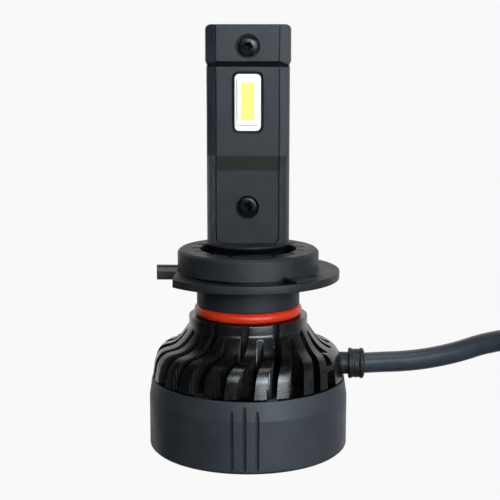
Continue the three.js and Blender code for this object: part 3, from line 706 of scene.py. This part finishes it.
def cover(name, with_bores):
    """The -Y cover: a shell with its window's sloped edge, two bosses, groove and counterbores."""
    shell = prism_x(name, stem_side(0, COVER_BOTTOM, STEM_TOP), -COVER_HALF, COVER_HALF)
    cut(shell, prism_x("inside", stem_side(0.9, 30, 65), -8, 8),
        block("rear_half", (-8, 8), (-0.9, 8), (30, 65)))
    face = prism_y("face", rounded_rectangle(COVER_HALF, COVER_BOTTOM, STEM_TOP + 3, 0.9), -4, 0)
    combine(shell, face, "INTERSECT")
    for key, z in SCREW_Z.items():
        length = BOSS_REACH[key] - 0.6
        join(shell, turned("boss", [(0, 0), (2.1, 0), (2.1, length), (0, length)], "-Y", (0, -0.6, z)))
    wide = rounded_rectangle(2.36, 47.08, 56.1, 1.1)
    narrow = rounded_rectangle(1.95, 47.43, 55.68, 0.75)
    window = loft("window", [[(x * 1.02, -2.2, z) for x, z in wide], [(x, -2.02, z) for x, z in wide],
                  [(x, -1.62, z) for x, z in narrow], [(x, -0.2, z) for x, z in narrow]])
    cut(shell, window, face_groove(-1))
    for key, z in SCREW_Z.items():
        r, floor = BORE[key]
        depth = (STEM_HALF[0] if key == "lower" else STEM_HALF[1]) + floor
        if with_bores:
            bore = [(0, 0), (r, 0), (r, depth - 0.14), (r + 0.2, depth + 0.2), (0, depth + 0.2)]
            cut(shell, turned("bore", bore, "-Y", (0, floor, z), 96),
                turned("hole", [(0, 0), (0.85, 0), (0.85, 3), (0, 3)], "-Y", (0, -0.3, z)))
        else:
            cut(shell, turned("thread", [(0, 0), (0.8, 0), (0.8, 1.2), (0, 1.2)], "-Y", (0, -0.3, z)))
    return bevel(shell, 0.07)


def six_lobe(r, lobe, count=72):
    """Outline of a six-lobed socket."""
    outline = []
    for i in range(count):
        a = 2 * math.pi * i / count
        radius = r + lobe * math.cos(6 * 2 * math.pi * i / count)
        outline.append((radius * math.cos(a), radius * math.sin(a)))
    return outline


def cover_screw(key):
    """A low-headed six-lobe screw, its head towards -Y."""
    z = SCREW_Z[key]
    floor = BORE[key][1] - 0.03
    profile = [(0, -1.4 - floor), (0.55, -1.4 - floor), (0.7, -1.2 - floor), (0.7, 0), (1.35, 0),
               (1.45, 0.1), (1.45, 0.42), (1.38, 0.55), (1.22, 0.62), (0.95, 0.66), (0.6, 0.68),
               (0, 0.68)]
    screw = turned(f"{key}_cover_screw", profile, "-Y", (0, floor, z), 96)
    socket = loft("socket", [[(x * s, floor - depth, z + y * s) for x, y in six_lobe(0.6, 0.12)]
                  for s, depth in ((0.6, -0.4), (0.92, -0.1), (1.0, 0.58), (1.2, 0.8))])
    return cut(screw, socket)


def led_board(name):
    """The white board with a raised pad under the LED and an L-shaped seam in it."""
    outline = rounded_rectangle(3.4, 40, 57.2, 0.5)
    board = prism_y(name, outline, -0.95, -0.6)
    join(board, prism_y("pad", rounded_rectangle(1.88, 47.5, 55.68, 0.7), -1.42, -0.8))
    cut(board, block("seam", (-1.64, -1.5), (-1.6, -1.1), (LED_Z - 3.64, LED_Z + 3.2)),
        block("seam", (-1.64, 1.5), (-1.6, -1.1), (LED_Z - 3.64, LED_Z - 3.5)))
    pad_hole = [(0, 0), (0.22, 0), (0.22, 1), (0, 1)]
    for x in (-2.75, 2.75):
        cut(board, turned("pad_hole", pad_hole, "-Y", (x, -0.3, 41.2), 24))
    return bevel(board, 0.03)


def led_package(name):
    """The LED's white body, with a shallow frame left standing round the phosphor."""
    package = prism_y(name, rounded_rectangle(1.5, LED_Z - 3.5, LED_Z + 3.2, 0.08), -1.74, -1.42)
    recess = prism_y("recess", rounded_rectangle(1.02, LED_Z - 2.86, LED_Z + 2.68, 0.1), -1.9, -1.7)
    return bevel(cut(package, recess), 0.04)


def phosphor(name):
    """The emitting strip, with shallow seams between its chips."""
    strip = prism_y(name, rounded_rectangle(0.96, LED_Z - 2.8, LED_Z + 2.62, 0.06), -1.84, -1.7)
    for i in range(1, LED_CHIPS):
        z = LED_Z - 2.8 + 5.55 * i / LED_CHIPS
        cut(strip, block("seam", (-2, 2), (-1.9, -1.825), (z - 0.02, z + 0.02)))
    return bevel(strip, 0.035)


def add_stem():
    finished(stem_frame(), "base", anodised, "stem_frame", smooth_angle=20)
    for side, turn in (("front", 0), ("rear", 180)):
        plate = rotated(cover(f"{side}_cover", side == "front"), turn)
        finished(plate, "base", anodised, f"{side}_cover", smooth_angle=20)
        for part, make, material in (("led_board", led_board, board_white),
                                     ("led_package", led_package, package_white),
                                     ("phosphor", phosphor, phosphor_yellow)):
            node = f"{side}_{part}"
            finished(rotated(make(node), turn), "base", material, node)
    for key in SCREW_Z:
        node = f"{key}_cover_screw"
        finished(cover_screw(key), "base", screw_black, node)


# -------------------------------- collar, neck and seal
COLLAR_TOP = high("lock_collar").z
FLANGE_Z = (25.65, 26.83)
FLANGE_R = 13.6
RING_R = 10.5
BORE_R = 7.15
LIP_SLOTS = 15
UNDERCUT = (-62, 33)            # azimuths of the channel in front of the ring's foot
SEAL_R = 7.3
SEAL_SECTION_R = 0.76
SEAL_Z = 20.84


def sector(name, inner, outer, start, end, z0, z1, step=1.5):
    """A solid piece of a ring between two azimuths."""
    count = max(2, round((end - start) / step))
    azimuths = [start + (end - start) * i / count for i in range(count + 1)]
    outline = [polar(outer, a) for a in azimuths] + [polar(inner, a) for a in reversed(azimuths)]
    return prism_z(name, outline, z0, z1)


def collar_key():
    """The key tab on the flange's cut side, stepped along its length."""
    flange_top = FLANGE_Z[1]
    key = prism_z("key", [(-13.42, -2.45), (-9.8, -2.45), (-9.8, 2.35), (-13.95, 2.35)],
                  FLANGE_Z[0] - 0.05, flange_top + 0.14)
    return cut(key, block("rabbet", (-14.5, -10.4), (0.9, 1.3), (flange_top - 0.2, 28)),
               block("lower_half", (-14.5, -10.4), (-3, 0.95), (flange_top, 28)))


def collar_ramp():
    """The slope that runs down from the lug to the flange."""
    flange_top = FLANGE_Z[1]
    sections = []
    for azimuth, z in ((43.9, flange_top + 0.35), (50, flange_top + 0.12), (58, flange_top - 0.05)):
        inner, outer = polar(9.4, azimuth), polar(12.9, azimuth)
        sections.append([(*inner, z), (*outer, z), (*outer, flange_top - 0.3),
                         (*inner, flange_top - 0.3)])
    return loft("ramp", sections)


def collar_undercut():
    """The channel at the foot of the ring's front, which widens from left to right."""
    start, end = UNDERCUT
    azimuths = [start + (end - start) * i / 40 for i in range(41)]
    reach = [RING_R + 0.35 + 2.1 * min(1, max(0, (a + 50) / 62)) for a in azimuths]
    outline = [polar(r, a) for r, a in zip(reach, azimuths)]
    outline += [polar(RING_R - 0.7, a) for a in reversed(azimuths)]
    return prism_z("undercut", outline, FLANGE_Z[1] - 0.75, FLANGE_Z[1] + 0.02)


def lip_slots():
    """Short slots in the ring's lip, open to the bore."""
    outline = [(6, -0.33), (8.35, -0.33), (8.5, -0.18), (8.5, 0.18), (8.35, 0.33), (6, 0.33)]
    slots = []
    for i in range(LIP_SLOTS):
        slot = prism_z("slot", outline, COLLAR_TOP - 2.4, COLLAR_TOP + 1)
        slots.append(rotated(slot, 180 + 360 / LIP_SLOTS * i))
    return merged("slots", slots)


def lock_collar():
    flange_top = FLANGE_Z[1]
    outer = rounded([(BORE_R, 27), (BORE_R, FLANGE_Z[0] + 0.65), (BORE_R + 0.65, FLANGE_Z[0]),
                     (FLANGE_R, FLANGE_Z[0]),
                     (FLANGE_R, flange_top), (RING_R, flange_top), (RING_R, COLLAR_TOP - 0.42),
                     (RING_R - 0.42, COLLAR_TOP), (BORE_R, COLLAR_TOP), (BORE_R, 27.5)], 0.12)
    collar = lathe("lock_collar", outer, 240)
    cut(collar, block("chord", (-20, -10.5), (-20, 20), (20, 28)))
    lug = sector("lug", 9.4, 13.2, 33, 44, flange_top - 0.3, flange_top + 0.35)
    join(collar, collar_key(), lug, collar_ramp())
    notch = sector("notch", RING_R - 0.6, 12, 26, 33, flange_top - 0.2, flange_top + 0.5)
    cut(collar, collar_undercut(), notch, lip_slots())
    return bevel(collar, 0.06)


def neck_barrel():
    top = 25.4
    outer = rounded([(3.95, 20), (3.95, 17.7), (4.95, 17.7), (4.95, 20.2), (6.55, 20.2), (6.55, 21.7),
                     (7.68, 21.7), (7.68, top), (6.9, top), (6.9, 27.1), (5.05, 27.1),
                     (5.05, 21.7), (3.95, 21.7), (3.95, 20.5)], 0.1)
    return lathe("neck_barrel", outer, 200)


def seal_ring():
    """A round-section ring with the faint parting line that moulding leaves round its middle."""
    section = []
    for i in range(48):
        a = 2 * math.pi * i / 48
        r = SEAL_SECTION_R + (0.012 if i == 0 else 0)
        section.append((SEAL_R + r * math.cos(a), SEAL_Z + r * math.sin(a)))
    return lathe("seal_ring", section, 200)


def add_neck():
    finished(lock_collar(), "collar", collar_black, "lock_collar")
    finished(neck_barrel(), "base", neck_black, "neck_barrel")
    finished(seal_ring(), "base", seal_red, "seal_ring")


# -------------------------------- heat sink
SINK_TOP = high("heat_sink").z
FIN_BOTTOM = 10.85
RIM_R = 8.87
FIN_EDGE_R = 14.4
FIN_PAIRS = 12
GAP_BOTTOM = FIN_BOTTOM - 1
GAP_OUTER = 15.6
GAP_STEPS = 22
GLAND_Z = 12.5
# One rib of a gap's ribbed wall: share of its width, and how far it is set back there.
RIB = ((0, 0.24), (0.14, 0.08), (0.4, 0), (0.7, 0), (1, 0.24))
RIB_WIDTH = 0.27
# Stretches where the gaps are closed round the lead's boss: azimuths, then heights.
PORT = ((65, 119, GAP_BOTTOM, 15.2), (52, 66, 13.15, 13.85))


def fin_gap(azimuth, sweep, inner, width):
    """The gap between two fins, swept back towards the edge. One wall is finely ribbed: every
    step carries an upright rib with a rounded right-hand side."""

    def wall(r, sign, source):
        t = min(1.12, (source - inner) / (FIN_EDGE_R - inner))
        half = math.degrees(width(t) / 2 / r)
        return azimuth - sweep * t ** 1.3 + sign * half

    radii = [inner + (GAP_OUTER - inner) * i / GAP_STEPS for i in range(GAP_STEPS + 1)]
    stepped = [polar(inner, wall(inner, -1, inner))]
    for near, far in zip(radii, radii[1:]):
        this, following = wall(far, -1, near), wall(far, -1, far)
        across = math.radians(this - following) * far
        if across < 0.01:
            stepped.append(polar(far, this))
            continue
        size = min(1, across / RIB_WIDTH)
        for share, sunk in RIB:
            stepped.append(polar(far - sunk * size, this + (following - this) * share))
    smooth = [inner + (GAP_OUTER - inner) * i / 24 for i in range(25)]
    outline = stepped + [polar(r, wall(r, 1, r)) for r in reversed(smooth)]
    return prism_z("gap", outline, GAP_BOTTOM, SINK_TOP + 1)


def fin_profile():
    """The fins' outer line: a convex shoulder that sweeps in to the rim."""
    curve = smooth_route([(r, z, 0) for r, z in (
        (FIN_EDGE_R, FIN_BOTTOM), (14.15, 12.6), (13.98, 13.45), (13.5, 14.45), (12.75, 15.15),
        (11.3, 15.75), (10.2, 16.7), (RIM_R, 18.6))], 5)
    return [(p.x, p.y) for p in curve]


def fin_gaps():
    """A long and a short gap to every pair of fins; some long ones also cut the rim."""
    gaps = []
    for i in range(FIN_PAIRS):
        azimuth = 360 / FIN_PAIRS * i
        through_rim = min(azimuth % 180, 180 - azimuth % 180) <= 30
        inner = 8.1 if through_rim else 8.95
        gaps.append(fin_gap(azimuth, 15, inner, lambda t: 1.13 + 0.47 * t))
        gaps.append(fin_gap(azimuth + 12.6, 12.6, 9.25, lambda t: 0.85 + 1.85 * t))
    return merged("gaps", gaps)


def heat_sink():
    body = lathe("heat_sink", [(0, FIN_BOTTOM)] + fin_profile()
                 + rounded([(RIM_R, 18.7), (RIM_R, SINK_TOP), (0, SINK_TOP)], 0.14), 240)
    cut(body, fin_gaps())
    for start, end, z0, z1 in PORT:
        solid = lathe("port", [(0, FIN_BOTTOM), *fin_profile(), (0, 18.6)], 240)
        join(body, combine(solid, sector("sector", 7.5, 18, start, end, z0, z1), "INTERSECT"))
    bevel(body, 0.045, 2, 35)
    skirt = lathe("skirt", [(0, 9), (8.4, 9), (8.4, FIN_BOTTOM + 0.5), (0, FIN_BOTTOM + 0.5)], 96)
    boss = turned("boss", rounded([(0, 7.5), (2.3, 7.5), (2.3, 13.75), (0, 13.75)], 0.4), "+X",
                  (0, 0, GLAND_Z), 72)
    cut(boss, block("under", (0, 20), (-5, 5), (5, FIN_BOTTOM)))
    join(body, skirt, boss)
    cavity = lathe("cavity", [(0, 8), (6.8, 8), (6.8, 17.5), (0, 17.5)], 96)
    bore = lathe("bore", [(0, 16.5), (5.15, 16.5), (5.15, 21), (0, 21)], 96)
    gland = turned("gland", [(0, 5), (1.9, 5), (1.9, 20), (0, 20)], "+X", (0, 0, GLAND_Z), 64)
    screws = [turned("pilot", [(0, 0), (0.5, 0), (0.5, 3.5), (0, 3.5)], "+Z",
                     (*polar(SCREW_CIRCLE, a), 9.8), 24) for a in SCREW_AZIMUTHS]
    return cut(body, cavity, bore, gland, merged("pilots", screws))


# -------------------------------- shroud and fan
SHROUD_R = 14.9
SHROUD_TOP = high("fan_housing").z
SCREW_CIRCLE = 11.6
SCREW_AZIMUTHS = (16.7, 136.7, 256.7)
SHROUD_TAPER_Z = 7.8            # the wall is upright below and leans in above
SHROUD_GROOVES = ((-7, 9.3), (0, 9.98), (7, 9.3))    # azimuth and top
SHROUD_GROUPS = (0, 120, 240)
FAN_BLADES = 9


def shroud_groove(azimuth, top):
    """An upright V groove with a pointed upper end and a small flat along its bottom."""
    sections = []
    for z, half, depth in ((0.55, 0.16, 0.2), (0.8, 0.27, 0.5), (top - 0.9, 0.27, 0.5),
                           (top - 0.25, 0.16, 0.45), (top, 0.02, 0.1)):
        lean = max(0, z - SHROUD_TAPER_Z) / (SHROUD_TOP - SHROUD_TAPER_Z)
        face = SHROUD_R - 0.41 * lean
        sections.append([(-half, -face - 0.3, z), (half, -face - 0.3, z), (half, -face, z),
                         (half * 0.3, -face + depth, z), (-half * 0.3, -face + depth, z),
                         (-half, -face, z)])
    return rotated(loft("groove", sections), azimuth)


def fan_housing():
    outline = rounded([(12.9, 0.6), (12.9, 0), (14.5, 0), (SHROUD_R, 0.4), (SHROUD_R, SHROUD_TAPER_Z),
                       (14.49, SHROUD_TOP), (14.15, SHROUD_TOP), (13.9, SHROUD_TOP - 1.1), (13.3, 9.2),
                       (13.3, 1.3), (12.9, 1.3), (12.9, 0.9)], 0.12)
    shell = lathe("fan_housing", outline, 240)
    grooves = [shroud_groove(group + azimuth, top) for group in SHROUD_GROUPS
               for azimuth, top in SHROUD_GROOVES]
    cut(shell, merged("grooves", grooves))
    for azimuth in SCREW_AZIMUTHS:
        x, y = polar(SCREW_CIRCLE, azimuth)
        post = turned("post", [(0, 0), (1.25, 0), (1.25, SHROUD_TOP - 1.4), (0, SHROUD_TOP - 1.4)],
                      "+Z", (x, y, 1.4), 40)
        web = rotated(block("web", (-0.8, 0.8), (-13.6, -SCREW_CIRCLE), (1.4, SHROUD_TOP)), azimuth)
        join(shell, post, web)
        cut(shell, turned("hole", [(0, 0), (0.52, 0), (0.52, 12), (0, 12)], "+Z", (x, y, 0.5), 24))
    return shell


def fan_grille():
    plate = lathe("fan_grille", rounded([(0, 0), (12.6, 0), (12.6, 1.1), (0, 1.1)], 0.12), 180)
    slots = []
    for group in range(0, 360, 60):
        slots.append(sector("slot", 4.4, 6.7, group + 98, group + 142, -1, 2))
        slots.append(sector("slot", 7.6, 9.9, group + 95, group + 145, -1, 2))
    cut(plate, merged("slots", slots))
    post = lathe("post", [(1.6, 1.0), (2.0, 1.0), (2.0, 1.5), (1.6, 1.5)], 48)
    join(plate, post)
    for azimuth in SCREW_AZIMUTHS:
        x, y = polar(SCREW_CIRCLE, azimuth)
        sink = [(0, -1), (1.2, -1), (1.05, 0.15), (1.05, 0.6), (0.52, 0.6), (0.52, 2), (0, 2)]
        cut(plate, turned("sink", sink, "+Z", (x, y, 0), 40))
    return bevel(plate, 0.09)


def housing_screw(index, azimuth):
    """A long cross-recessed screw, its head down in the grille."""
    x, y = polar(SCREW_CIRCLE, azimuth)
    profile = [(0, 0), (0.7, 0), (0.88, 0.08), (0.95, 0.22), (0.95, 0.47), (0.4, 0.47)]
    for i in range(20):
        z = 0.6 + 0.6 * i
        profile += [(0.4, z), (0.36, z + 0.3)]
    profile += [(0.3, 12.9), (0, 12.9)]
    screw = turned(f"housing_screw_{index}", profile, "+Z", (x, y, 0.08), 40)
    for turn in (20, 110):
        bar = rotated(block("bar", (-0.62, 0.62), (-0.12, 0.12), (-1, 0.33)), turn)
        bar.data.transform(Matrix.Translation((x, y, 0)))
        cut(screw, bar)
    return screw


def fan_rotor():
    """The fan's cup and its twisted blades, a little thicker at the root than at the tip."""
    cup = lathe("fan_rotor", rounded([(0.76, 5.6), (0.76, 5.3), (4.1, 5.3), (4.1, 1.7), (4.7, 1.7),
                (4.7, 5.9), (0.76, 5.9), (0.76, 5.7)], 0.2), 96)
    blades = []
    for i in range(FAN_BLADES):
        sections = []
        for r, pitch, thick in ((4.5, 46, 0.55), (6.3, 40, 0.5), (8.1, 34, 0.45), (9.85, 29, 0.4)):
            chord = Vector((math.cos(math.radians(pitch)), 0, math.sin(math.radians(pitch))))
            across = Vector((-chord.z, 0, chord.x))
            length = min(5.2, 3.5 / chord.z)
            middle = Vector((0, -r, 3.72))
            ends = [middle + chord * length * s + across * thick * w for s, w in (
                (-0.5, 0), (-0.25, 0.5), (0.25, 0.45), (0.5, 0), (0.25, -0.35), (-0.25, -0.45))]
            sections.append([tuple(p) for p in ends])
        blades.append(rotated(loft("blade", sections), 360 / FAN_BLADES * i))
    return join(cup, merged("blades", blades))


def add_base():
    finished(heat_sink(), "base", gloss_black, "heat_sink", smooth_angle=38)
    finished(fan_housing(), "base", shroud_black, "fan_housing")
    finished(fan_grille(), "base", shroud_black, "fan_grille")
    finished(fan_rotor(), "fan", rotor_black, "fan_rotor")
    for index, azimuth in enumerate(SCREW_AZIMUTHS, 1):
        node = f"housing_screw_{index}"
        finished(housing_screw(index, azimuth), "base", screw_black, node)


# -------------------------------- gland, tie and plug
def strain_relief():
    """The gland: a stub, then a ring with small windows between two raised rims."""
    body = turned("strain_relief", rounded([(0, 8.9), (1.675, 8.9), (1.675, 15.1), (2.275, 15.1),
                  (2.3, 15.55), (2.16, 15.68), (2.16, 16.75), (2.3, 16.9), (2.3, 17.2), (2.0, 17.45),
                  (0, 17.45)], 0.14), "+X", (0, 0, GLAND_Z), 96)
    windows = []
    for turn in (78, 168, 258, 348):
        outline = [(-0.55, 15.8), (0.55, 15.8), (0.55, 16.75), (-0.55, 16.75), (-0.55, 16.57),
                   (0.37, 16.57), (0.37, 15.98), (-0.55, 15.98)]
        hole = loft("hole", [[(x, y, z) for y, x in outline] for z in (1.72, 3)])
        hole.data.transform(Matrix.Rotation(math.radians(turn), 4, "X"))
        hole.data.transform(Matrix.Translation((0, 0, GLAND_Z)))
        windows.append(hole)
    seat = turned("seat", [(0, 16.9), (1.72, 16.9), (1.72, 19), (0, 19)], "+X", (0, 0, GLAND_Z), 96)
    return bevel(cut(body, merged("windows", windows), seat), 0.06)


def cable_tie():
    """A band round both strands where they lie on each other, with its head inside the coil."""
    place = Vector((COIL_CENTRE[0], COIL_CENTRE[1] - COIL_R, 0))
    z0, z1 = COIL_Z[0] - CORD_R, COIL_Z[1] + CORD_R
    inner = rounded_rectangle(CORD_R + 0.15, z0 - 0.12, z1 + 0.15, 1.45)
    outer = rounded_rectangle(CORD_R + 0.6, 0.02, z1 + 0.6, 1.8)
    band = prism_x("cable_tie", outer, -1.3, 1.3)
    head = prism_x("head", rounded_rectangle(0.9, 2.2, 4.8, 0.25), -1.7, 1.7)
    head.data.transform(Matrix.Translation((0, CORD_R + 1.3, 0)))
    tail = prism_x("tail", [(CORD_R + 0.9, 4.6), (CORD_R + 1.25, 4.6), (CORD_R + 1.3, 7.0),
                   (CORD_R + 1.0, 7.0)], -1.2, 1.2)
    join(band, head, tail)
    cut(band, prism_x("inside", inner, -2, 2))
    ribs = [block("rib", (-0.8, 0.8), (CORD_R + 0.58, CORD_R + 0.8), (z, z + 0.12))
            for z in (0.9, 1.3, 1.7)]
    cut(band, merged("ribs", ribs))
    band.data.transform(Matrix.Translation(place))
    return bevel(band, 0.08)


def onto_lead(obj):
    """Turns a piece made with its inlet at the origin and its length along +Y onto the lead."""
    obj.data.transform(Matrix.Translation(PLUG_START) @ Matrix.Rotation(math.radians(-90), 4, "Z"))
    return obj


def plug_housing():
    """The plug's body with grip grooves down both sides, a boot for the lead and two slots."""
    floor = -PLUG_START[2]
    top = floor + 8
    half = 7.5

    def slab(name, half_width, y0, y1, z0, z1, corner):
        return prism_y(name, rounded_rectangle(half_width, z0, z1, corner), y0, y1)

    body = slab("plug_housing", half, 5, 18, floor, top, 0.9)
    neck = slab("neck", half - 2.2, 1.5, 5.2, floor + 1, top - 1, 1.4)
    join(body, neck)
    grips = [block("grip", x, (y, y + 0.5), (floor + 1.4, top - 1.4))
             for x in ((-half - 1, -half + 0.35), (half - 0.35, half + 1))
             for y in (7.5, 8.7, 9.9, 11.1, 12.3)]
    cut(body, merged("grips", grips))
    bevel(body, 0.25, 3, 40)
    boot = rounded([(0, 0.1), (2.4, 0.1), (3.0, 3.7), (0, 3.7)], 0.3)
    join(body, turned("boot", boot, "+Y", (0, 0, 0), 72))
    slots = [block("slot", (side * BLADE_X - 2.7, side * BLADE_X + 2.7), (14, 19), (-0.7, 0.7))
             for side in (-1, 1)]
    inlet = turned("inlet", [(0, -0.3), (1.8, -0.3), (1.8, 2.8), (0, 2.8)], "+Y", (0, 0, 0), 48)
    return onto_lead(cut(body, inlet, merged("slots", slots)))


def plug_blade(name, side):
    """A flat blade with clipped corners and a round hole near its end."""
    middle = side * BLADE_X
    outline = [(middle - 2.4, 14.3), (middle + 2.4, 14.3), (middle + 2.4, 24.6), (middle + 1.5, 25.8),
               (middle - 1.5, 25.8), (middle - 2.4, 24.6)]
    blade = prism_z(name, outline, -0.4, 0.4)
    cut(blade, turned("hole", [(0, -1), (0.6, -1), (0.6, 1), (0, 1)], "+Z", (middle, 22.6, 0), 32))
    return onto_lead(bevel(blade, 0.14, 2))


def add_lead_fittings():
    finished(strain_relief(), "base", plug_black, "strain_relief")
    made = [finished(cable_tie(), "base", tie_black, "cable_tie"),
            finished(plug_housing(), "base", plug_black, "plug_housing")]
    for name, side in (("plug_blade_left", -1), ("plug_blade_right", 1)):
        made.append(finished(plug_blade(name, side), "base", blade_tin, name))
    return made


# -------------------------------- kept CAD nodes
KEPT = {
    "copper_core": copper, "collar_snap_ring": spring_steel, "rotor_magnet": ferrite,
    "fan_shaft": spring_steel, "fan_bearing": bronze, "fan_stator": spring_steel,
    "fan_board": circuit_green, "driver_board": circuit_black, "driver_inductor": ferrite,
    "driver_capacitor": gloss_black, "driver_chip": chip_black, "driver_diode": chip_black,
    "supply_wire_positive": wire_red, "supply_wire_negative": wire_black,
    "front_led_wire_positive": wire_red, "front_led_wire_negative": wire_black,
    "rear_led_wire_positive": wire_red, "rear_led_wire_negative": wire_black,
}


def repaint_kept():
    for node, material in KEPT.items():
        for material_slot in NODES[node].material_slots:
            material_slot.material = material


add_stem()
add_neck()
add_base()
repaint_kept()

on_lead = add_lead_fittings()
